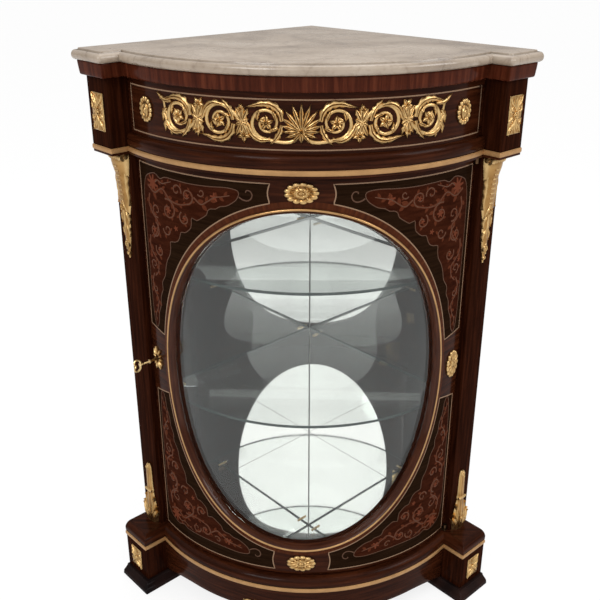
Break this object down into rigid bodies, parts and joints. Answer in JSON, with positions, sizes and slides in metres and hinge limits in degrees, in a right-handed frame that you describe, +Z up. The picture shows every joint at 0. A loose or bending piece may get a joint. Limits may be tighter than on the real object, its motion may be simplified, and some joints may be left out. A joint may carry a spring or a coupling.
{
  "type": "corner curio cabinet",
  "caption": "Bow-front corner display cabinet with an oval glazed door, key lock, glass shelves, mirrored back, marble top and gilt mounts.",
  "frame": {"origin": "middle of the footprint's box, on the floor", "axes": "+Z up; -Y towards the bowed front; +Y towards the wall corner; +X to the viewer's right"},
  "size_m": [0.8176, 0.5874, 1.15],
  "materials": {
    "marble": "polished beige marble",
    "rosewood": "dark ebonised rosewood veneer under gloss varnish",
    "crossband": "orange-brown crossbanded veneer under gloss varnish",
    "black_base": "black gloss lacquer",
    "carcass": "plain back boards",
    "gilt": "gilded cast metal, worn satin",
    "lock_brass": "plain brass",
    "lock_steel": "filed steel",
    "mirror": "silvered glass",
    "glass": "clear glass"
  },
  "bodies": {
    "case": {"marble_top": "marble", "cornice": "crossband", "frieze_panel": "rosewood", "frieze_moulding": "rosewood", "frieze_block_left": "rosewood", "frieze_block_right": "rosewood", "ceiling_board": "rosewood", "base_board": "rosewood", "apron_rail": "rosewood", "foot_block_left": "rosewood", "foot_block_right": "rosewood", "stile_left": "rosewood", "stile_right": "rosewood", "foot_base_left": "black_base", "foot_base_right": "black_base", "back_panel_left": "carcass", "back_panel_right": "carcass", "gilt_band": "gilt", "plinth_gilt_line": "gilt", "frieze_scroll_mount": "gilt", "frieze_rosette_left": "gilt", "frieze_rosette_right": "gilt", "block_plaque_left": "gilt", "block_plaque_right": "gilt", "foot_plaque_left": "gilt", "foot_plaque_right": "gilt", "upper_mount_left": "gilt", "upper_mount_right": "gilt", "lower_mount_left": "gilt", "lower_mount_right": "gilt", "apron_mount": "gilt", "strike_plate": "lock_brass", "hinge_plate_top": "lock_brass", "hinge_plate_bottom": "lock_brass", "back_mirror_left": "mirror", "back_mirror_right": "mirror", "floor_mirror": "mirror", "glass_shelf_lower": "glass", "glass_shelf_upper": "glass", "shelf_pin_lower_left": "lock_brass", "shelf_pin_lower_right": "lock_brass", "shelf_pin_lower_corner": "lock_brass", "shelf_pin_upper_left": "lock_brass", "shelf_pin_upper_right": "lock_brass", "shelf_pin_upper_corner": "lock_brass"},
    "door": {"door_frame": "rosewood", "door_glass": "glass", "oval_moulding": "crossband", "oval_gilt_bead": "gilt", "glazing_bead": "rosewood", "door_rosette_top": "gilt", "door_rosette_bottom": "gilt", "door_rosette_right": "gilt", "key_escutcheon": "gilt", "lock_case": "lock_brass", "hinge_leaf_top": "lock_brass", "hinge_leaf_bottom": "lock_brass"},
    "key": {"key": "lock_brass"},
    "bolt": {"lock_bolt": "lock_steel"}
  },
  "joints": [
    {"name": "door_hinge", "type": "hinge", "parent": "case", "child": "door", "pos_m": [0.30811, -0.10713, 0.551], "axis": [0, 0, 1], "range_deg": [0, 100]},
    {"name": "key_turn", "type": "hinge", "parent": "door", "child": "key", "pos_m": [-0.29027, -0.12309, 0.55565], "axis": [-0.7071, -0.7071, 0], "range_deg": [0, 180]},
    {"name": "bolt_slide", "type": "slide", "parent": "door", "child": "bolt", "axis": [-0.7071, 0.7071, 0], "range_m": [0, 0.008]}
  ],
  "couplings": [
    {"joint": "key_turn", "follows": "bolt_slide", "rad_per_m": 392.69}
  ]
}
